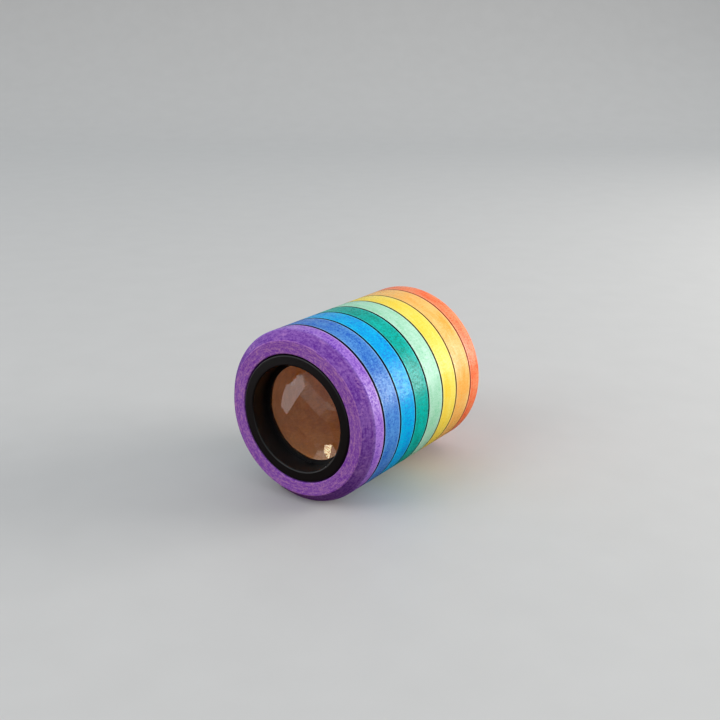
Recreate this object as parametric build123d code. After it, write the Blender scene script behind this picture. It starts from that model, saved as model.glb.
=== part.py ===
from build123d import *
import math
import os

# A hand-held wooden kaleidoscope that lies on its side. Millimetres, +Z up.
# The barrel axis runs along +Y: the faceted lens faces -Y and the eyepiece faces +Y.
# The origin is on the surface that the barrel rests on, under the middle of its length.
# Every round part is drawn as (radius, depth), where depth is counted from the front face.

# Barrel: eight stained rings, front to rear, glued face to face
BAND_WIDTHS = {
    "violet": 7.1,
    "blue": 7.7,
    "sky": 7.4,
    "teal": 7.0,
    "mint": 7.5,
    "yellow": 7.6,
    "orange": 8.2,
    "red": 8.1,
}
LENGTH = sum(BAND_WIDTHS.values())
BARREL_R = 25.0
CHAMFER_DEPTH = 3.0      # along the axis, at both ends of the barrel
CHAMFER_RISE = 2.7       # across it
GROOVE = 0.2             # each ring's share of the V groove between two rings, deep and wide
BORE_R = 16.5            # through the blue to orange rings
EDGE_ROUND = 0.35        # worn edges of the end rings

# Lens cell: turns by hand in a liner glued into the violet ring
CELL_BORE_R = 18.55
CELL_POCKET_DEPTH = 9.1  # a shoulder in the blue ring ends the pocket
CELL_SIDE_GAP = 0.3      # the dark gap round the bezel
CELL_FIT = 0.05          # radial running clearance between bezel and liner
GLUE_LINE = 0.05
BEZEL_FLANGE = 1.6       # thickness
BEZEL_SKIRT_R = 17.4
BEZEL_LENGTH = 8.7
BEZEL_WELL_R = 15.3
BEZEL_LIP = 1.0          # thickness of the lip that backs the lens
BEZEL_LIP_R = 14.1
BEZEL_ROUND = 0.4
AXIAL_PLAY = 0.2
CIRCLIP_THICKNESS = 0.5
CIRCLIP_R = 18.2
CIRCLIP_SEAT_R = 16.8
CIRCLIP_PLAY = 0.05
CIRCLIP_GAP_ANGLE = 40.0
RING_THICKNESS = 0.6     # ring that holds the lens from the front
RING_TABS = 3
RING_TAB_WIDTH = 2.4
RING_TAB_PROUD = 0.35
RING_TAB_RISE = 0.5
RING_TAB_ANGLE = 30.0    # of the first tab, from +X towards +Z

# Faceted lens: a domed crown of flat facets round a square table, on a flat disc
LENS_RIM_R = 15.2
LENS_RIM = 1.2           # thickness of the disc under the crown
LENS_R = 14.0            # the crown, which shows inside the retaining ring
LENS_CROWN = 3.0
TABLE_TURN = 55.6        # of the table's first side, from +X towards +Z
TABLE_HALF = 4.2         # from the axis to each side of the table
TABLE_CORNER = TABLE_HALF * math.sqrt(2)
# Each ring of facets: first angle, number, slope in degrees, and a radius and height on its plane
LENS_RINGS = (
    (TABLE_TURN, 4, 13.0, TABLE_HALF, LENS_CROWN),
    (TABLE_TURN + 45.0, 4, 17.0, TABLE_CORNER, LENS_CROWN),
    (TABLE_TURN + 22.5, 8, 21.0, 9.4, 1.9),
    (TABLE_TURN, 8, 24.0, 11.5, 1.25),
)

# Light tunnel: three mirror strips between two card collars, in the rear half of a card tube
TUBE_WALL = 1.05
TUNNEL_DEPTH = 29.0      # from the front face to the front collar
MIRROR_THICKNESS = 2.0
MIRROR_INSCRIBED_R = 7.05
MIRROR_EDGE_GAP = 0.05
COLLAR_THICKNESS = 1.0
COLLAR_INSCRIBED_R = 6.8
COLLAR_FIT = 0.05
REAR_AIR = 1.2           # between the rear collar and the red ring

# Eyepiece: a dished cup in the red ring, with a clear window behind its eyehole
EYE_BORE_R = 14.05
EYE_RIM_R = 12.6
EYE_HOLE_R = 6.0
EYE_HOLE_LENGTH = 1.0
EYE_WINDOW_SEAT_R = 9.0
EYE_WINDOW_SEAT = 2.5    # depth of the seat from the cup's inner face
EYE_WINDOW_THICKNESS = 1.5
EYE_RING_R = 6.6
EYE_RING_THICKNESS = 0.9
EYE_FIT = 0.05
EYE_ROUND = 0.4

# Depths that follow from the sizes above
CELL_LIP_DEPTH = BEZEL_LENGTH - BEZEL_LIP
LENS_SEAT_DEPTH = CELL_LIP_DEPTH - LENS_RIM
TUBE_START = CELL_POCKET_DEPTH
TUBE_END = LENGTH - BAND_WIDTHS["red"]
TUBE_R = BORE_R - GLUE_LINE
TUBE_INNER_R = TUBE_R - TUBE_WALL
MIRROR_START = TUNNEL_DEPTH + COLLAR_THICKNESS
MIRROR_END = TUBE_END - REAR_AIR - COLLAR_THICKNESS
MIRROR_LENGTH = MIRROR_END - MIRROR_START


def turned(*outline):
    """A body of revolution about the barrel axis, from its (radius, depth) corners."""
    return revolve(make_face(Polyline(*outline, close=True)), Axis.Y)


def turned_ring(inner_r, outer_r, start, end):
    """A plain ring between two depths."""
    return turned((inner_r, start), (outer_r, start), (outer_r, end), (inner_r, end))


def rims(shape, radius, depth):
    """The circular edges of that radius at that depth."""
    near = 0.01
    circles = shape.edges().filter_by(GeomType.CIRCLE)
    return [
        edge
        for edge in circles
        if abs(edge.radius - radius) < near and abs(edge.arc_center.Y - depth) < near
    ]


def softened(shape, size, *places):
    """The shape with the circular edges at those (radius, depth) places rounded."""
    for radius, depth in places:
        shape = fillet(rims(shape, radius, depth), size)
    return shape


# ---- barrel rings ----


def violet_ring(start, end):
    """The front ring: a bevel outside and the lens cell's bore inside."""
    face_r = BARREL_R - CHAMFER_RISE
    ring = turned(
        (CELL_BORE_R, start),
        (face_r, start),
        (BARREL_R, start + CHAMFER_DEPTH),
        (BARREL_R, end - GROOVE),
        (BARREL_R - GROOVE, end),
        (CELL_BORE_R, end),
    )
    return softened(
        ring,
        EDGE_ROUND,
        (face_r, start),
        (BARREL_R, start + CHAMFER_DEPTH),
        (CELL_BORE_R, start),
    )


def blue_ring(start, end):
    """The second ring: the shoulder that ends the lens cell's pocket is inside it."""
    return turned(
        (CELL_BORE_R, start),
        (BARREL_R - GROOVE, start),
        (BARREL_R, start + GROOVE),
        (BARREL_R, end - GROOVE),
        (BARREL_R - GROOVE, end),
        (BORE_R, end),
        (BORE_R, CELL_POCKET_DEPTH),
        (CELL_BORE_R, CELL_POCKET_DEPTH),
    )


def middle_ring(start, end):
    """A plain ring with half a V groove at each end."""
    return turned(
        (BORE_R, start),
        (BARREL_R - GROOVE, start),
        (BARREL_R, start + GROOVE),
        (BARREL_R, end - GROOVE),
        (BARREL_R - GROOVE, end),
        (BORE_R, end),
    )


def red_ring(start, end):
    """The rear ring: bevelled like the front one, with the eyepiece's bore inside."""
    face_r = BARREL_R - CHAMFER_RISE
    ring = turned(
        (EYE_BORE_R, start),
        (BARREL_R - GROOVE, start),
        (BARREL_R, start + GROOVE),
        (BARREL_R, end - CHAMFER_DEPTH),
        (face_r, end),
        (EYE_BORE_R, end),
    )
    return softened(
        ring,
        EDGE_ROUND,
        (face_r, end),
        (BARREL_R, end - CHAMFER_DEPTH),
        (EYE_BORE_R, end),
    )


def barrel_rings():
    """All eight rings, each between its own two depths."""
    special = {"violet": violet_ring, "blue": blue_ring, "red": red_ring}
    rings = {}
    start = 0.0
    for colour, width in BAND_WIDTHS.items():
        make = special.get(colour, middle_ring)
        rings["band_" + colour] = make(start, start + width)
        start += width
    return rings


# ---- lens cell ----


def cell_liner():
    """The fixed bush that the bezel turns in."""
    return turned_ring(
        BEZEL_SKIRT_R + CELL_FIT,
        CELL_BORE_R - GLUE_LINE,
        BEZEL_FLANGE + AXIAL_PLAY,
        BAND_WIDTHS["violet"],
    )


def circlip_depth():
    """Where the circlip's front face is, just behind the liner."""
    return BAND_WIDTHS["violet"] + AXIAL_PLAY


def lens_bezel():
    """A flanged cup: the well in front of the lens, a lip behind it, a circlip groove outside."""
    flange_r = CELL_BORE_R - CELL_SIDE_GAP
    groove_start = circlip_depth() - CIRCLIP_PLAY
    groove_end = circlip_depth() + CIRCLIP_THICKNESS + CIRCLIP_PLAY
    bezel = turned(
        (BEZEL_WELL_R, 0),
        (flange_r, 0),
        (flange_r, BEZEL_FLANGE),
        (BEZEL_SKIRT_R, BEZEL_FLANGE),
        (BEZEL_SKIRT_R, groove_start),
        (CIRCLIP_SEAT_R, groove_start),
        (CIRCLIP_SEAT_R, groove_end),
        (BEZEL_SKIRT_R, groove_end),
        (BEZEL_SKIRT_R, BEZEL_LENGTH),
        (BEZEL_LIP_R, BEZEL_LENGTH),
        (BEZEL_LIP_R, CELL_LIP_DEPTH),
        (BEZEL_WELL_R, CELL_LIP_DEPTH),
    )
    return softened(bezel, BEZEL_ROUND, (flange_r, 0), (BEZEL_WELL_R, 0))


def bezel_circlip():
    """The open spring ring that keeps the bezel in the liner. Its gap is at the bottom."""
    start = circlip_depth()
    ring = turned_ring(
        CIRCLIP_SEAT_R + CIRCLIP_PLAY, CIRCLIP_R, start, start + CIRCLIP_THICKNESS
    )
    half_gap = math.radians(CIRCLIP_GAP_ANGLE / 2)
    far = 2 * CIRCLIP_R
    wedge = Polyline(
        (0, 0), (-far * math.sin(half_gap), -far), (far * math.sin(half_gap), -far), close=True
    )
    opening = extrude(Plane.XZ * make_face(wedge), amount=far, both=True)
    return ring - opening


def crown_facet(crown, turn, reach, height, slope):
    """The crown cut by a plane that faces the angle turn and tips outward by slope."""
    outward = Vector(math.cos(math.radians(turn)), math.sin(math.radians(turn)))
    normal = outward * math.sin(slope) + Vector(0, 0, math.cos(slope))
    plane = Plane(origin=outward * reach + Vector(0, 0, height), z_dir=normal)
    return split(crown, bisect_by=plane, keep=Keep.BOTTOM)


def faceted_lens():
    """A glass disc with a square table and four rings of facets that fall away to its edge."""
    crown = extrude(Circle(LENS_R), LENS_CROWN)
    for first, count, slope, radius, height in LENS_RINGS:
        for number in range(count):
            turn = first + number * 360.0 / count
            crown = crown_facet(crown, turn, radius, height, math.radians(slope))
    disc = extrude(Circle(LENS_RIM_R), -LENS_RIM)
    return Pos(0, LENS_SEAT_DEPTH, 0) * Rot(90, 0, 0) * (crown + disc)


def lens_retaining_ring():
    """The thin ring in front of the lens, with snap tabs that press on the well's wall."""
    front = LENS_SEAT_DEPTH - RING_THICKNESS
    outer_r = BEZEL_WELL_R - GLUE_LINE
    ring = turned_ring(LENS_R, outer_r, front, LENS_SEAT_DEPTH)
    tab = Box(RING_TAB_PROUD, RING_TAB_RISE, RING_TAB_WIDTH)
    for number in range(RING_TABS):
        turn = RING_TAB_ANGLE + number * 360.0 / RING_TABS
        place = Pos(outer_r - RING_TAB_PROUD, front - RING_TAB_RISE / 2, 0)
        ring += Rot(0, -turn, 0) * place * tab
    return ring


# ---- light tunnel ----


def inner_tube():
    """The card tube that lines the bore and carries the mirrors."""
    return turned_ring(TUBE_INNER_R, TUBE_R, TUBE_START, TUBE_END)


def mirror(facing):
    """A strip on the tunnel's side that lies at that angle, from +X towards +Z."""
    width = 2 * math.sqrt(3) * MIRROR_INSCRIBED_R - 2 * MIRROR_EDGE_GAP
    strip = Box(MIRROR_THICKNESS, MIRROR_LENGTH, width)
    out = MIRROR_INSCRIBED_R + MIRROR_THICKNESS / 2
    return Rot(0, -facing, 0) * Pos(out, MIRROR_START + MIRROR_LENGTH / 2, 0) * strip


def collar(start):
    """A card disc with a three-cornered hole that holds one end of the mirrors."""
    disc = turned_ring(0, TUBE_INNER_R - COLLAR_FIT, start, start + COLLAR_THICKNESS)
    triangle = RegularPolygon(COLLAR_INSCRIBED_R, 3, major_radius=False, rotation=30)
    hole = extrude(Plane.XZ * triangle, amount=LENGTH, both=True)
    return disc - hole


# ---- eyepiece ----


def eyepiece_cup():
    """A dished cup that narrows to the eyehole, with the window's seat behind it."""
    seat_end = TUBE_END + EYE_WINDOW_SEAT
    hole_end = seat_end + EYE_HOLE_LENGTH
    outer_r = EYE_BORE_R - EYE_FIT
    cup = turned(
        (EYE_WINDOW_SEAT_R, TUBE_END),
        (outer_r, TUBE_END),
        (outer_r, LENGTH),
        (EYE_RIM_R, LENGTH),
        (EYE_HOLE_R, hole_end),
        (EYE_HOLE_R, seat_end),
        (EYE_WINDOW_SEAT_R, seat_end),
    )
    return softened(cup, EYE_ROUND, (outer_r, LENGTH), (EYE_RIM_R, LENGTH))


def eyepiece_window():
    """The clear disc behind the eyehole."""
    seat_end = TUBE_END + EYE_WINDOW_SEAT
    return turned_ring(0, EYE_WINDOW_SEAT_R - EYE_FIT, seat_end - EYE_WINDOW_THICKNESS, seat_end)


def eyepiece_retaining_ring():
    """The ring that holds the window against the cup."""
    window_start = TUBE_END + EYE_WINDOW_SEAT - EYE_WINDOW_THICKNESS
    return turned_ring(
        EYE_RING_R, EYE_WINDOW_SEAT_R - EYE_FIT, window_start - EYE_RING_THICKNESS, window_start
    )


def all_parts():
    """Every node by name, in (radius, depth) space round the Y axis."""
    parts = barrel_rings()
    parts["cell_liner"] = cell_liner()
    parts["lens_bezel"] = lens_bezel()
    parts["bezel_circlip"] = bezel_circlip()
    parts["faceted_lens"] = faceted_lens()
    parts["lens_retaining_ring"] = lens_retaining_ring()
    parts["inner_tube"] = inner_tube()
    parts["mirror_top"] = mirror(90)
    parts["mirror_left"] = mirror(210)
    parts["mirror_right"] = mirror(330)
    parts["mirror_collar_front"] = collar(TUNNEL_DEPTH)
    parts["mirror_collar_rear"] = collar(MIRROR_END)
    parts["eyepiece_cup"] = eyepiece_cup()
    parts["eyepiece_window"] = eyepiece_window()
    parts["eyepiece_retaining_ring"] = eyepiece_retaining_ring()
    return parts


os.makedirs("parts", exist_ok=True)
to_row_frame = Pos(0, -LENGTH / 2, BARREL_R)
for node, shape in all_parts().items():
    export_step(to_row_frame * shape, f"parts/{node}.step")
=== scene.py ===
import math

import bmesh
import bpy
from mathutils import Matrix, Vector, noise


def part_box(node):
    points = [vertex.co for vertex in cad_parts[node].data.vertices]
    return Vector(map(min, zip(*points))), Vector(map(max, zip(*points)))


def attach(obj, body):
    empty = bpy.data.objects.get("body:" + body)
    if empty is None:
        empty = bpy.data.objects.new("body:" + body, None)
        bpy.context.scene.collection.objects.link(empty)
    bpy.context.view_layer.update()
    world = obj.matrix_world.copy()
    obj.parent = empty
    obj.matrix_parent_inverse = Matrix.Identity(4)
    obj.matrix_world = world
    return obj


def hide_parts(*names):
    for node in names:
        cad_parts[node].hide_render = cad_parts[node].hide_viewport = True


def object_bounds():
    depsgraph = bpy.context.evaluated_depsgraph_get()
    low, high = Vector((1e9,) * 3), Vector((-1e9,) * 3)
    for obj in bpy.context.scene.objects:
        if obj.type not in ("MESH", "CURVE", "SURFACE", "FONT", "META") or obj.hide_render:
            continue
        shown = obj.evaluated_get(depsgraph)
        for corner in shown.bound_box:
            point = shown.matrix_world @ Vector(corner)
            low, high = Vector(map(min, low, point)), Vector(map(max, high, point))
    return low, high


# A wooden kaleidoscope with eight stained bands, a turning lens cell and an eyepiece.
# Everything is in metres in the row frame: the barrel lies on z = 0 with its axis along +Y,
# and the lens faces -Y. Shapes are drawn as (radius, depth) in millimetres, where depth is
# counted from the front face.

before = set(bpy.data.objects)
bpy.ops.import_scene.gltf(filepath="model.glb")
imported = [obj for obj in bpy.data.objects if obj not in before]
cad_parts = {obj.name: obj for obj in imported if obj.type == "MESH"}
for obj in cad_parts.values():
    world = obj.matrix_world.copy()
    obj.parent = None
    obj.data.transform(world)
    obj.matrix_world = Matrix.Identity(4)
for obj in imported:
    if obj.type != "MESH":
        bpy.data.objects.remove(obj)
CAD_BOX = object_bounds()

MM = 0.001
FRONT_Y = CAD_BOX[0].y
AXIS_Z = (CAD_BOX[0].z + CAD_BOX[1].z) / 2
BARREL_R = (CAD_BOX[1].x - CAD_BOX[0].x) / 2 / MM
COLOURS = ["violet", "blue", "sky", "teal", "mint", "yellow", "orange", "red"]


def depth_of(y):
    """A row-frame Y as a depth from the front face, in millimetres."""
    return (y - FRONT_Y) / MM


def span_of(node):
    """The two depths that a CAD node lies between."""
    low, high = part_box(node)
    return depth_of(low.y), depth_of(high.y)


# ---------------------------------------------------------------- materials


class Nodes:
    """Builds one material's node tree with short calls."""

    def __init__(self, name):
        self.material = bpy.data.materials.new(name)
        self.material.use_nodes = True
        self.tree = self.material.node_tree
        self.tree.nodes.clear()
        self.output = self.tree.nodes.new("ShaderNodeOutputMaterial")

    def add(self, kind, inputs=None, **settings):
        node = self.tree.nodes.new("ShaderNode" + kind)
        for key, value in settings.items():
            setattr(node, key, value)
        for key, value in (inputs or {}).items():
            self.feed(node.inputs[key], value)
        return node

    def feed(self, socket, value):
        if isinstance(value, bpy.types.NodeSocket):
            self.tree.links.new(value, socket)
        else:
            socket.default_value = value

    def math(self, operation, *values, clamp=False):
        node = self.add("Math", operation=operation, use_clamp=clamp)
        for socket, value in zip(node.inputs, values):
            self.feed(socket, value)
        return node.outputs[0]

    def vector(self, operation, first, second):
        node = self.add("VectorMath", operation=operation)
        self.feed(node.inputs[0], first)
        self.feed(node.inputs[1], second)
        return node.outputs[0]

    def combine(self, x, y, z):
        return self.add("CombineXYZ", {"X": x, "Y": y, "Z": z}).outputs[0]

    def noise(self, where, scale=1.0, detail=2.0, roughness=0.5):
        """Noise between about 0.2 and 0.8."""
        inputs = {"Vector": where, "Scale": scale, "Detail": detail, "Roughness": roughness}
        return self.add("TexNoise", inputs).outputs[0]

    def smooth(self, value, low, high, to_low=0.0, to_high=1.0):
        inputs = {
            "Value": value,
            "From Min": low,
            "From Max": high,
            "To Min": to_low,
            "To Max": to_high,
        }
        return self.add("MapRange", inputs, interpolation_type="SMOOTHSTEP").outputs[0]

    def mix(self, factor, first, second):
        node = self.add("Mix", data_type="RGBA")
        self.feed(node.inputs["Factor"], factor)
        self.feed(node.inputs["A"], first)
        self.feed(node.inputs["B"], second)
        return node.outputs["Result"]

    def bump(self, height, distance, strength):
        inputs = {"Height": height, "Distance": distance, "Strength": strength}
        return self.add("Bump", inputs).outputs[0]

    def barrel_point(self):
        """The place on the piece in millimetres, with the barrel axis as its Y axis."""
        place = self.add("TexCoord").outputs["Object"]
        centred = self.vector("SUBTRACT", place, (0, FRONT_Y, AXIS_Z))
        return self.scaled(centred, 1 / MM)

    def axis_distance(self, x, z):
        """The distance from the barrel axis."""
        square = self.math("ADD", self.math("MULTIPLY", x, x), self.math("MULTIPLY", z, z))
        return self.math("SQRT", square)

    def around(self, x, radius, z, turns, fineness):
        """A place for streaks that run round the axis: fine across the radius, long along it."""
        share = self.math("DIVIDE", turns, radius)
        return self.combine(
            self.math("MULTIPLY", x, share),
            self.math("MULTIPLY", radius, fineness),
            self.math("MULTIPLY", z, share),
        )

    def swing(self, value, weight):
        """A noise value as a signed swing about zero."""
        return self.math("MULTIPLY", self.math("SUBTRACT", value, 0.5), weight)

    def total(self, first, *others):
        for other in others:
            first = self.math("ADD", first, other)
        return first

    def scaled(self, vector, factor):
        node = self.add("VectorMath", operation="SCALE")
        self.feed(node.inputs[0], vector)
        self.feed(node.inputs["Scale"], factor)
        return node.outputs[0]

    def stretched(self, vector, x, y, z):
        return self.vector("MULTIPLY", vector, (x, y, z))

    def split(self, vector):
        return self.add("SeparateXYZ", {"Vector": vector}).outputs

    def finish(self, shader):
        self.tree.links.new(shader, self.output.inputs["Surface"])
        return self.material


def rgba(colour):
    return (*colour, 1.0)


def diluted(colour, strength):
    """A stain's colour where it lies thicker (strength over 1) or thinner (under 1)."""
    return tuple(channel ** strength for channel in colour)


def blend_colour(first, second, share):
    """A colour part of the way from the first to the second."""
    return tuple(a + (b - a) * share for a, b in zip(first, second))


# Each band's stain, the share of specks in its figure, and the contrast of those specks
STAINS = {
    "violet": ((0.300, 0.117, 0.595), 1.0, 1.4),
    "blue": ((0.038, 0.198, 0.620), 1.0, 1.15),
    "sky": ((0.0002, 0.360, 0.790), 1.0, 1.45),
    "teal": ((0.0002, 0.372, 0.300), 1.0, 1.4),
    "mint": ((0.400, 0.750, 0.525), 0.6, 1.3),
    "yellow": ((0.990, 0.750, 0.080), 0.3, 1.2),
    "orange": ((0.995, 0.525, 0.118), 0.3, 1.1),
    "red": ((0.985, 0.220, 0.076), 0.3, 1.4),
}
# The burnt line behind each band: its colour and half its width in millimetres
BURNT_LINES = {
    "violet": ((0.004, 0.003, 0.006), 0.41),
    "blue": ((0.004, 0.004, 0.006), 0.37),
    "sky": ((0.004, 0.005, 0.006), 0.37),
    "teal": ((0.004, 0.008, 0.007), 0.38),
    "mint": ((0.030, 0.036, 0.016), 0.35),
    "yellow": ((0.170, 0.085, 0.014), 0.33),
    "orange": ((0.380, 0.048, 0.018), 0.33),
}
WOOD_PALE = (0.780, 0.600, 0.420)
# The violet band's stain on its face and on its bevel, and the paler wood that shows in each
END_GRAIN = (0.360, 0.115, 0.580)
END_GRAIN_PINK = (0.720, 0.310, 0.560)
BEVEL = (0.270, 0.085, 0.500)
BEVEL_STREAK = (0.640, 0.300, 0.720)
DEEP = 1.38              # strength of the stain in its darkest streaks
THIN = 0.72              # and in its lightest
FLECK = 0.6              # and in a bright fleck
HALO = 0.45              # and in the bared edge beside a burnt line
HALO_WIDTH = 0.45        # millimetres
LINE_BLUR = 0.06         # millimetres to each side of a burnt line's edge
MEAN_ROUGHNESS = 0.34
LEAST_ROUGHNESS = 0.2
WOOD_RELIEF = 0.04       # millimetres


def stained_wood(colour, start, end, line_front, line_rear):
    """Stained, waxed maple: turning marks, ray specks, end grain and burnt edges.

    start and end are the band's depths. A line is a colour and half a width, or None.
    """
    stain, speckle, contrast = STAINS[colour]
    deep = diluted(stain, DEEP + 0.10 * (contrast - 1))
    thin = diluted(stain, THIN - 0.12 * (contrast - 1))
    n = Nodes("stained_" + colour)
    place = n.barrel_point()
    x, depth, z = n.split(place)
    radius = n.axis_distance(x, z)
    side = n.smooth(radius, BARREL_R - 0.5, BARREL_R - 0.1)

    streaks = n.noise(n.stretched(place, 0.10, 1.9, 0.10), detail=3.0, roughness=0.6)
    hairlines = n.noise(n.stretched(place, 0.30, 6.0, 0.30), detail=2.0)
    specks = n.noise(n.stretched(place, 1.8, 1.35, 1.8), detail=2.0, roughness=0.6)
    strokes = n.noise(n.stretched(place, 3.4, 0.50, 3.4), detail=2.0, roughness=0.6)
    flecks = n.noise(n.stretched(place, 2.3, 1.5, 2.3), detail=1.0)
    blotches = n.noise(n.stretched(place, 0.14, 0.30, 0.14), detail=2.0)
    fibres = n.noise(n.stretched(place, 1.6, 0.12, 1.6), detail=3.0, roughness=0.6)
    feed_marks = n.noise(n.combine(radius, 0.0, 0.0), scale=3.2, detail=2.0)
    swirls = n.noise(n.around(x, radius, z, 13.0, 2.0), detail=3.0, roughness=0.65)

    side_tone = n.total(
        n.swing(streaks, 0.9 * (1.3 - 0.5 * speckle)),
        n.swing(hairlines, 0.7 * (1.2 - 0.7 * speckle)),
        n.swing(specks, contrast * (0.5 + 1.3 * speckle)),
        n.swing(strokes, 1.1 - 0.2 * speckle),
        n.swing(blotches, 1.3),
    )
    end_tone = n.total(
        n.swing(feed_marks, 1.3), n.swing(specks, 1.9), n.swing(swirls, 2.2), n.swing(blotches, 0.9)
    )
    swings = n.add("Mix", {"Factor": side, "A": end_tone, "B": side_tone}, data_type="FLOAT")
    tone = n.math("ADD", swings.outputs[0], 0.5, clamp=True)
    surface = n.mix(tone, rgba(deep), rgba(thin))
    fleck = n.smooth(flecks, 0.57, 0.66, 0.0, contrast * (0.15 + 0.25 * speckle))
    surface = n.mix(fleck, surface, rgba(diluted(stain, FLECK)))

    if colour == "violet":
        face = n.smooth(depth, 0.25, 0.05)
        soaked = n.mix(tone, rgba(diluted(END_GRAIN, 1.25)), rgba(diluted(END_GRAIN, 0.75)))
        figure = n.total(n.swing(swirls, 1.3), n.swing(feed_marks, 0.6), n.swing(specks, 0.8))
        pink = n.smooth(figure, -0.10, 0.28, 0.0, 0.58)
        soaked = n.mix(pink, soaked, rgba(END_GRAIN_PINK))
        rays = n.noise(n.stretched(place, 0.22, 0.9, 1.1), detail=3.0, roughness=0.6)
        patch = n.noise(n.stretched(place, 0.16, 0.3, 0.22), detail=1.0)
        drawn = n.math("MULTIPLY", n.smooth(rays, 0.50, 0.62), n.smooth(patch, 0.48, 0.60))
        soaked_bevel = n.mix(tone, rgba(diluted(BEVEL, 1.35)), rgba(diluted(BEVEL, 0.75)))
        bevel = n.mix(n.math("MULTIPLY", drawn, 0.45), soaked_bevel, rgba(BEVEL_STREAK))
        cut = n.mix(face, bevel, soaked)
        surface = n.mix(side, cut, surface)

    waver = n.swing(n.noise(n.stretched(place, 0.9, 0.2, 0.9), detail=2.0), 0.10)
    front_gap = n.math("ADD", n.math("SUBTRACT", depth, start), waver)
    rear_gap = n.math("ADD", n.math("SUBTRACT", end, depth), waver)
    halo = blend_colour(diluted(stain, HALO), WOOD_PALE, 0.08)
    burnt = 0.0
    for gap, line in ((front_gap, line_front), (rear_gap, line_rear)):
        if line is None:
            continue
        char, half_width = line
        bared = n.math(
            "MULTIPLY",
            n.smooth(gap, half_width, half_width + 0.08),
            n.smooth(gap, half_width + HALO_WIDTH, half_width + 0.12),
        )
        surface = n.mix(n.math("MULTIPLY", bared, 0.55), surface, rgba(halo))
        here = n.smooth(gap, half_width + LINE_BLUR, half_width - LINE_BLUR)
        surface = n.mix(here, surface, rgba(char))
        burnt = n.math("ADD", burnt, here)

    rough = n.total(
        n.swing(flecks, -0.9), n.swing(specks, -1.1), n.math("MULTIPLY", burnt, 0.3)
    )
    rough = n.math("ADD", rough, MEAN_ROUGHNESS, clamp=True)
    rough = n.math("MAXIMUM", rough, LEAST_ROUGHNESS)
    height = n.total(
        n.math("MULTIPLY", specks, 0.8),
        n.math("MULTIPLY", strokes, 0.5),
        n.math("MULTIPLY", hairlines, 0.5),
        n.math("MULTIPLY", flecks, 1.0),
        n.math("MULTIPLY", fibres, 0.3),
    )
    shader = n.add(
        "BsdfPrincipled",
        {
            "Base Color": surface,
            "Roughness": rough,
            "Normal": n.bump(height, WOOD_RELIEF * MM, 0.7),
            "Specular IOR Level": 0.05,
        },
    )
    return n.finish(shader.outputs[0])


def black_plastic():
    """Moulded black plastic: faint flow mottling, turned feed marks and a little dust."""
    n = Nodes("black_plastic")
    place = n.barrel_point()
    x, depth, z = n.split(place)
    radius = n.axis_distance(x, z)
    grain = n.noise(n.stretched(place, 9.0, 9.0, 9.0), detail=2.0)
    rings = n.noise(n.combine(radius, depth, 0.0), scale=7.0, detail=1.0)
    dust = n.smooth(n.noise(place, scale=3.4, detail=3.0, roughness=0.7), 0.62, 0.74, 0.0, 0.5)
    surface = n.mix(grain, rgba((0.003, 0.003, 0.003)), rgba((0.006, 0.005, 0.006)))
    surface = n.mix(dust, surface, rgba((0.016, 0.015, 0.015)))
    rough = n.smooth(n.math("ADD", grain, dust), 0.3, 1.2, 0.33, 0.58)
    height = n.math("ADD", n.math("MULTIPLY", grain, 0.4), n.math("MULTIPLY", rings, 0.6))
    shader = n.add(
        "BsdfPrincipled",
        {
            "Base Color": surface,
            "Roughness": rough,
            "Normal": n.bump(height, 0.02 * MM, 0.4),
            "Specular IOR Level": 0.38,
        },
    )
    return n.finish(shader.outputs[0])


def clear_glass(name, tint, ior):
    """Clear glass that lets lamplight through to what is behind it, with faint smears."""
    n = Nodes(name)
    place = n.barrel_point()
    smear = n.noise(n.stretched(place, 0.35, 0.35, 0.9), detail=3.0, roughness=0.6)
    rough = n.smooth(smear, 0.55, 0.75, 0.0, 0.012)
    glass = n.add(
        "BsdfPrincipled",
        {
            "Base Color": rgba(tint),
            "Roughness": rough,
            "IOR": ior,
            "Transmission Weight": 1.0,
        },
    )
    clear = n.add("BsdfTransparent", {"Color": rgba(tint)})
    ray = n.add("LightPath")
    shader = n.add(
        "MixShader", {0: ray.outputs["Is Shadow Ray"], 1: glass.outputs[0], 2: clear.outputs[0]}
    )
    return n.finish(shader.outputs[0])


def brown_card():
    """Bare brown card: pressed fibres and slight mottling."""
    n = Nodes("card")
    place = n.barrel_point()
    fibres = n.noise(n.stretched(place, 2.0, 0.8, 1.2), detail=4.0, roughness=0.65)
    clouds = n.noise(place, scale=0.25, detail=1.0)
    tone = n.math("ADD", n.math("MULTIPLY", fibres, 0.7), n.math("MULTIPLY", clouds, 0.3))
    surface = n.mix(
        n.smooth(tone, 0.3, 0.7), rgba((0.68, 0.262, 0.060)), rgba((0.90, 0.395, 0.098))
    )
    shader = n.add(
        "BsdfPrincipled",
        {
            "Base Color": surface,
            "Roughness": n.smooth(fibres, 0.3, 0.7, 0.7, 0.9),
            "Normal": n.bump(fibres, 0.05 * MM, 0.8),
        },
    )
    return n.finish(shader.outputs[0])


def silvered():
    """Mirror strip with a faint haze."""
    n = Nodes("mirror")
    haze = n.noise(n.barrel_point(), scale=0.5, detail=4.0, roughness=0.7)
    surface = n.mix(haze, rgba((0.80, 0.80, 0.79)), rgba((0.88, 0.88, 0.87)))
    shader = n.add(
        "BsdfPrincipled",
        {
            "Base Color": surface,
            "Roughness": n.smooth(haze, 0.4, 0.8, 0.01, 0.06),
            "Metallic": 1.0,
        },
    )
    return n.finish(shader.outputs[0])


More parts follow.
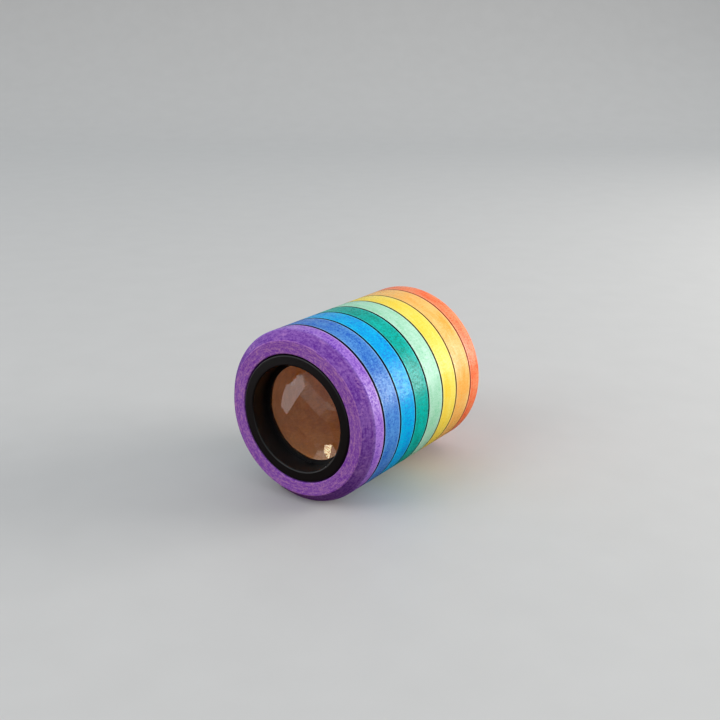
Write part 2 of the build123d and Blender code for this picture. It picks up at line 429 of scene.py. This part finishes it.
def spring_steel():
    """Dull drawn spring steel."""
    n = Nodes("spring_steel")
    place = n.barrel_point()
    drawn = n.noise(n.stretched(place, 3.0, 20.0, 3.0), detail=2.0)
    surface = n.mix(drawn, rgba((0.20, 0.20, 0.21)), rgba((0.34, 0.34, 0.35)))
    shader = n.add(
        "BsdfPrincipled",
        {
            "Base Color": surface,
            "Roughness": n.smooth(drawn, 0.3, 0.7, 0.3, 0.45),
            "Metallic": 1.0,
        },
    )
    return n.finish(shader.outputs[0])


def pale_ground():
    """The studio floor and backdrop: pale, matt, and very slightly mottled."""
    n = Nodes("pale_ground")
    place = n.add("TexCoord").outputs["Object"]
    mottling = n.noise(place, scale=60.0, detail=3.0)
    surface = n.mix(mottling, rgba((0.60, 0.585, 0.57)), rgba((0.64, 0.625, 0.61)))
    shader = n.add("BsdfPrincipled", {"Base Color": surface, "Roughness": 0.55})
    return n.finish(shader.outputs[0])


# ---------------------------------------------------------------- geometry

SEGMENTS = 288
SHARP_ANGLE = math.radians(32)
ARC_STEPS = 4            # in the rounding of a corner
WOBBLE = 0.01            # millimetres


def arc_corner(before, corner, after, size):
    """Points of an arc of radius size that rounds a corner of an outline."""
    to_before = (Vector(before) - Vector(corner)).normalized()
    to_after = (Vector(after) - Vector(corner)).normalized()
    half = to_before.angle(to_after) / 2
    bisector = (to_before + to_after).normalized()
    centre = Vector(corner) + bisector * size / math.sin(half)
    first = Vector(corner) + to_before * size / math.tan(half)
    last = Vector(corner) + to_after * size / math.tan(half)
    points = []
    for step in range(ARC_STEPS + 1):
        chord = first.lerp(last, step / ARC_STEPS) - centre
        points.append(centre + chord.normalized() * size)
    return points


def eased(outline):
    """An outline of (radius, depth, rounding) corners as plain points."""
    points = []
    for index, (radius, depth, size) in enumerate(outline):
        corner = (radius, depth)
        if not size:
            points.append(Vector(corner))
            continue
        before = outline[index - 1][:2]
        after = outline[(index + 1) % len(outline)][:2]
        points += arc_corner(before, corner, after, size)
    return points


def lathe(name, outline, material):
    """A closed outline turned about the barrel axis, as a smooth mesh with sharp edges.

    The radius wavers by WOBBLE, as it does on wood turned by hand.
    """
    mesh = bpy.data.meshes.new(name)
    work = bmesh.new()
    rings = []
    for index in range(SEGMENTS):
        turn = 2 * math.pi * index / SEGMENTS
        ring = []
        for radius, depth in outline:
            where = Vector((math.cos(turn) * 2, math.sin(turn) * 2, depth * 0.7))
            radius += WOBBLE * noise.noise(where)
            x = radius * math.cos(turn) * MM
            z = radius * math.sin(turn) * MM
            ring.append(work.verts.new((x, FRONT_Y + depth * MM, AXIS_Z + z)))
        rings.append(ring)
    count = len(outline)
    for index in range(SEGMENTS):
        here, there = rings[index], rings[(index + 1) % SEGMENTS]
        for step in range(count):
            after = (step + 1) % count
            work.faces.new((here[step], here[after], there[after], there[step]))
    bmesh.ops.recalc_face_normals(work, faces=work.faces)
    work.to_mesh(mesh)
    work.free()
    mesh.materials.append(material)
    mesh.shade_smooth()
    mesh.set_sharp_from_angle(angle=SHARP_ANGLE)
    piece = bpy.data.objects.new(name, mesh)
    bpy.context.scene.collection.objects.link(piece)
    return piece


# ---------------------------------------------------------------- barrel bands

GROOVE = 0.2             # each band's share of the V groove between two bands
GROOVE_EASE = 0.06       # rounding of its edge
EDGE_EASE = 0.35         # worn edges of the end bands
CHAMFER_DEPTH = 3.0      # along the axis, at both ends of the barrel
CHAMFER_RISE = 2.7       # across it
CELL_BORE_R = 18.55      # the hole that the lens cell sits in
EYE_BORE_R = 14.05       # the hole that the eyepiece cup sits in
BORE_R = 16.5            # the hole through the middle bands
FACE_RIDGE = 0.012       # height of a tool mark on an end face
FACE_RIDGE_PITCH = 0.42  # and the distance to the next one
FACE_MARGIN = 0.5        # plain strip at both edges of a ridged face


def turned_face(bore_r, face_r, depth, rearward):
    """Points across an end face with the fine ridges that the turning tool left."""
    inner_r = bore_r + FACE_MARGIN
    outer_r = face_r - FACE_MARGIN
    step = FACE_RIDGE_PITCH / 4
    count = int((outer_r - inner_r) / step)
    points = []
    for index in range(1, count):
        radius = inner_r + (outer_r - inner_r) * index / count
        strength = 0.5 + noise.noise(Vector((radius * 1.7, depth, 0.0)))
        ridge = math.sin(2 * math.pi * radius / FACE_RIDGE_PITCH) * FACE_RIDGE * strength
        points.append((radius, depth + rearward * ridge, 0.0))
    return points


def band_outline(colour, start, end):
    """The outline of one band, as (radius, depth, rounding) corners."""
    face_r = BARREL_R - CHAMFER_RISE
    front_groove = [
        (BARREL_R - GROOVE, start, 0),
        (BARREL_R, start + GROOVE, GROOVE_EASE),
    ]
    rear_groove = [
        (BARREL_R, end - GROOVE, GROOVE_EASE),
        (BARREL_R - GROOVE, end, 0),
    ]
    if colour == "violet":
        front = [(CELL_BORE_R, start, EDGE_EASE)]
        front += turned_face(CELL_BORE_R, face_r, start, 1)
        front += [
            (face_r, start, EDGE_EASE),
            (BARREL_R, start + CHAMFER_DEPTH, EDGE_EASE),
        ]
        return front + rear_groove + [(CELL_BORE_R, end, 0)]
    if colour == "red":
        rear = [
            (BARREL_R, end - CHAMFER_DEPTH, EDGE_EASE),
            (face_r, end, EDGE_EASE),
        ]
        rear += turned_face(EYE_BORE_R, face_r, end, -1)[::-1]
        rear += [(EYE_BORE_R, end, EDGE_EASE)]
        return [(EYE_BORE_R, start, 0)] + front_groove + rear
    if colour == "blue":
        pocket = depth_of(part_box("inner_tube")[0].y)
        inside = [(BORE_R, end, 0), (BORE_R, pocket, 0), (CELL_BORE_R, pocket, 0)]
        return [(CELL_BORE_R, start, 0)] + front_groove + rear_groove + inside
    return [(BORE_R, start, 0)] + front_groove + rear_groove + [(BORE_R, end, 0)]


def make_bands():
    """All eight bands, each in the place of its CAD node."""
    line_front = None
    for colour in COLOURS:
        node = "band_" + colour
        start, end = span_of(node)
        line_rear = BURNT_LINES.get(colour)
        material = stained_wood(colour, start, end, line_front, line_rear)
        outline = eased(band_outline(colour, start, end))
        piece = lathe(node + "_turned", outline, material)
        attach(piece, "barrel")
        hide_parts(node)
        line_front = line_rear


# ---------------------------------------------------------------- lens

LENS_R = 14.0            # the crown of facets
LENS_RIM_R = 15.2        # the plain disc under it
LENS_CROWN = 3.0         # height of the crown
EDGE_POLISH = 0.05       # width of the worn edge between two facets
CUT_TOLERANCE = 0.0001
MERGE_DISTANCE = 0.001
TABLE_TURN = 55.6        # of the table's first side, from +X towards +Z
TABLE_HALF = 4.2         # from the axis to each side of the table
TABLE_CORNER = TABLE_HALF * math.sqrt(2)
# Each ring of facets: first angle, number, slope in degrees, and a radius and height on its plane
LENS_RINGS = (
    (TABLE_TURN, 4, 13.0, TABLE_HALF, LENS_CROWN),
    (TABLE_TURN + 45.0, 4, 17.0, TABLE_CORNER, LENS_CROWN),
    (TABLE_TURN + 22.5, 8, 21.0, 9.4, 1.9),
    (TABLE_TURN, 8, 24.0, 11.5, 1.25),
)


def circle_of_verts(work, radius, height):
    """Vertices round the barrel axis, with height counted towards the front."""
    turns = [2 * math.pi * index / SEGMENTS for index in range(SEGMENTS)]
    return [work.verts.new((radius * math.cos(t), -height, radius * math.sin(t))) for t in turns]


def join_circles(work, first, second):
    """A wall of faces from one circle of vertices to another."""
    for index in range(SEGMENTS):
        after = (index + 1) % SEGMENTS
        work.faces.new((first[index], first[after], second[after], second[index]))


def cut_facet(work, turn, slope, reach, height):
    """Cuts the crown by a plane that faces the angle turn and tips outward by slope."""
    outward = Vector((math.cos(turn), 0, math.sin(turn)))
    normal = outward * math.sin(slope) - Vector((0, math.cos(slope), 0))
    cut = bmesh.ops.bisect_plane(
        work,
        geom=work.verts[:] + work.edges[:] + work.faces[:],
        dist=CUT_TOLERANCE,
        plane_co=outward * reach - Vector((0, height, 0)),
        plane_no=normal,
        clear_outer=True,
    )
    outline = [part for part in cut["geom_cut"] if isinstance(part, bmesh.types.BMEdge)]
    bmesh.ops.contextual_create(work, geom=outline)


def in_fixed_order(work):
    """Vertices, edges and faces for from_pydata, in an order that is the same on every run."""
    verts = sorted(work.verts, key=lambda vert: tuple(vert.co))
    place = {vert: index for index, vert in enumerate(verts)}
    faces = []
    for face in work.faces:
        corners = [place[vert] for vert in face.verts]
        first = corners.index(min(corners))
        faces.append(corners[first:] + corners[:first])
    return [tuple(vert.co) for vert in verts], [], sorted(faces)


def make_lens():
    """The lens with truly flat facets, so that each one mirrors the lights crisply."""
    front, rear = span_of("faceted_lens")
    work = bmesh.new()
    base = circle_of_verts(work, LENS_R, 0)
    top = circle_of_verts(work, LENS_R, LENS_CROWN)
    join_circles(work, base, top)
    work.faces.new(top)
    for first, count, slope, reach, height in LENS_RINGS:
        for number in range(count):
            turn = math.radians(first + number * 360.0 / count)
            cut_facet(work, turn, math.radians(slope), reach, height)
    work.normal_update()
    ridges = [
        edge
        for edge in work.edges
        if len(edge.link_faces) == 2 and all(abs(face.normal.y) > 0.5 for face in edge.link_faces)
    ]
    bmesh.ops.bevel(work, geom=ridges, offset=EDGE_POLISH, segments=1, affect="EDGES")
    bmesh.ops.remove_doubles(work, verts=work.verts[:], dist=MERGE_DISTANCE)
    shoulder = circle_of_verts(work, LENS_RIM_R, 0)
    back = circle_of_verts(work, LENS_RIM_R, front + LENS_CROWN - rear)
    join_circles(work, base, shoulder)
    join_circles(work, shoulder, back)
    work.faces.new(back)
    bmesh.ops.recalc_face_normals(work, faces=work.faces)
    for vert in work.verts:
        x, y, z = vert.co
        vert.co = (x * MM, FRONT_Y + (front + LENS_CROWN + y) * MM, AXIS_Z + z * MM)
    mesh = bpy.data.meshes.new("faceted_lens_cut")
    mesh.from_pydata(*in_fixed_order(work))
    work.free()
    for face in mesh.polygons:
        face.use_smooth = abs(face.normal.y) < 0.5
    mesh.materials.append(clear_glass("lens_glass", (1.0, 0.99, 0.86), 1.5))
    piece = bpy.data.objects.new("faceted_lens_cut", mesh)
    bpy.context.scene.collection.objects.link(piece)
    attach(piece, "lens_cell")
    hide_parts("faceted_lens")


# ---------------------------------------------------------------- CAD nodes with better finishes


PLASTIC_NODES = (
    "lens_bezel",
    "lens_retaining_ring",
    "cell_liner",
    "eyepiece_cup",
    "eyepiece_retaining_ring",
)


def dress(node, material):
    """Gives a CAD node a procedural material in every slot."""
    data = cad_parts[node].data
    if not data.materials:
        data.materials.append(material)
    for index in range(len(data.materials)):
        data.materials[index] = material


def dress_nodes():
    """Every CAD node that no piece replaces gets its finish."""
    plastic = black_plastic()
    card = brown_card()
    mirror = silvered()
    for node in PLASTIC_NODES:
        dress(node, plastic)
    for node in ("inner_tube", "mirror_collar_front", "mirror_collar_rear"):
        dress(node, card)
    for node in ("mirror_top", "mirror_left", "mirror_right"):
        dress(node, mirror)
    dress("bezel_circlip", spring_steel())
    dress("eyepiece_window", clear_glass("window_clear", (0.98, 0.985, 0.98), 1.49))


# ---------------------------------------------------------------- studio

CAMERA_YAW = 35.72       # degrees, to the left of +Y
CAMERA_PITCH = 19.02     # degrees down
SENSOR_WIDTH = 36.0
CAMERA_LENS = 50.85      # focal length, in the sensor's millimetres
# From the floor point under the line between violet and blue, in barrel radii
CAMERA_OFFSET = (6.61, -8.253, 5.25)


def make_camera():
    """The camera at the angle and distance that the proportions were taken from."""
    data = bpy.data.cameras.new("camera")
    data.sensor_width = SENSOR_WIDTH
    data.lens = CAMERA_LENS
    data.clip_start = 0.01
    camera = bpy.data.objects.new("camera", data)
    bpy.context.scene.collection.objects.link(camera)
    anchor = Vector((0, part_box("band_blue")[0].y, 0))
    camera.location = anchor + Vector(CAMERA_OFFSET) * BARREL_R * MM
    camera.rotation_euler = (math.radians(90 - CAMERA_PITCH), 0, math.radians(CAMERA_YAW))
    bpy.context.scene.camera = camera


# Where each light shines from, its distance and size in metres, its watts and its colour
LIGHTS = {
    "window": ((0.66, 0.62, 0.21), 0.75, (0.50, 0.42), 5.6, (1.0, 0.985, 0.96)),
    "sheen": ((0.66, 0.62, 0.16), 0.74, (0.30, 0.40), 8.8, (1.0, 0.985, 0.96)),
    "front_fill": ((-0.35, -0.9, 0.8), 1.0, (0.50, 0.50), 1.95, (0.97, 0.98, 1.0)),
    "left_window": ((-0.81, -0.59, -0.02), 1.0, (0.46, 0.48), 1.2, (0.97, 0.98, 1.0)),
    "left_lamp": ((-0.840, -0.541, 0.026), 1.0, (0.03, 0.04), 0.16, (1.0, 0.82, 0.55)),
}
SHEEN_ONLY = ("sheen", "left_window", "left_lamp")


def area_light(name, direction, distance, size, power, colour):
    """A rectangular light that looks at the barrel from that direction."""
    data = bpy.data.lights.new(name, "AREA")
    data.shape = "RECTANGLE"
    data.size, data.size_y = size
    data.energy = power
    data.color = colour
    light = bpy.data.objects.new(name, data)
    bpy.context.scene.collection.objects.link(light)
    aim = Vector((0, 0, AXIS_Z))
    light.location = aim + Vector(direction).normalized() * distance
    light.rotation_euler = (aim - light.location).to_track_quat("-Z", "Y").to_euler()
    light.visible_diffuse = name not in SHEEN_ONLY


TABLE_LIGHT = (0.055, 0.024, 0.016)
ROOM_LIGHT = (0.610, 0.645, 0.670)
TABLE_EDGE = -0.08       # height of the line between the two, as a direction's Z


def make_world():
    """Light from a pale room above the horizon and from a dark table top below it."""
    world = bpy.data.worlds.new("studio")
    world.use_nodes = True
    tree = world.node_tree
    direction = tree.nodes.new("ShaderNodeTexCoord").outputs["Generated"]
    split = tree.nodes.new("ShaderNodeSeparateXYZ")
    above = tree.nodes.new("ShaderNodeMapRange")
    above.inputs["From Min"].default_value = TABLE_EDGE - 0.04
    above.inputs["From Max"].default_value = TABLE_EDGE + 0.04
    colour = tree.nodes.new("ShaderNodeMix")
    colour.data_type = "RGBA"
    colour.inputs["A"].default_value = rgba(TABLE_LIGHT)
    colour.inputs["B"].default_value = rgba(ROOM_LIGHT)
    tree.links.new(direction, split.inputs[0])
    tree.links.new(split.outputs["Z"], above.inputs["Value"])
    tree.links.new(above.outputs[0], colour.inputs["Factor"])
    tree.links.new(colour.outputs["Result"], tree.nodes["Background"].inputs["Color"])
    bpy.context.scene.world = world


# The floor and backdrop, in metres, seen along the way that the camera looks
GROUND_NEAR = -1.4
GROUND_FAR = 1.1
GROUND_BEND = 0.35       # radius of the bend from floor to backdrop
GROUND_BEND_STEPS = 16
GROUND_HEIGHT = 1.3
GROUND_HALF_WIDTH = 1.6


def make_ground():
    """A pale floor that curves up into a backdrop. It throws no light back on the object."""
    bend_start = GROUND_FAR - GROUND_BEND
    profile = [(GROUND_NEAR, 0.0), (bend_start, 0.0)]
    for step in range(1, GROUND_BEND_STEPS + 1):
        turn = math.pi / 2 * step / GROUND_BEND_STEPS
        y = bend_start + GROUND_BEND * math.sin(turn)
        z = GROUND_BEND - GROUND_BEND * math.cos(turn)
        profile.append((y, z))
    profile.append((GROUND_FAR, GROUND_HEIGHT))
    vertices = [(side * GROUND_HALF_WIDTH, y, z) for y, z in profile for side in (-1, 1)]
    faces = [(2 * i, 2 * i + 1, 2 * i + 3, 2 * i + 2) for i in range(len(profile) - 1)]
    mesh = bpy.data.meshes.new("ground")
    mesh.from_pydata(vertices, [], faces)
    mesh.shade_smooth()
    mesh.materials.append(pale_ground())
    ground = bpy.data.objects.new("ground", mesh)
    ground.matrix_world = Matrix.Rotation(math.radians(CAMERA_YAW), 4, "Z")
    bpy.context.scene.collection.objects.link(ground)
    ground.visible_diffuse = False
    ground.visible_glossy = False


make_camera()
make_world()
make_ground()
for name, settings in LIGHTS.items():
    area_light(name, *settings)
bpy.context.scene.view_settings.view_transform = "Standard"

make_bands()
make_lens()
dress_nodes()
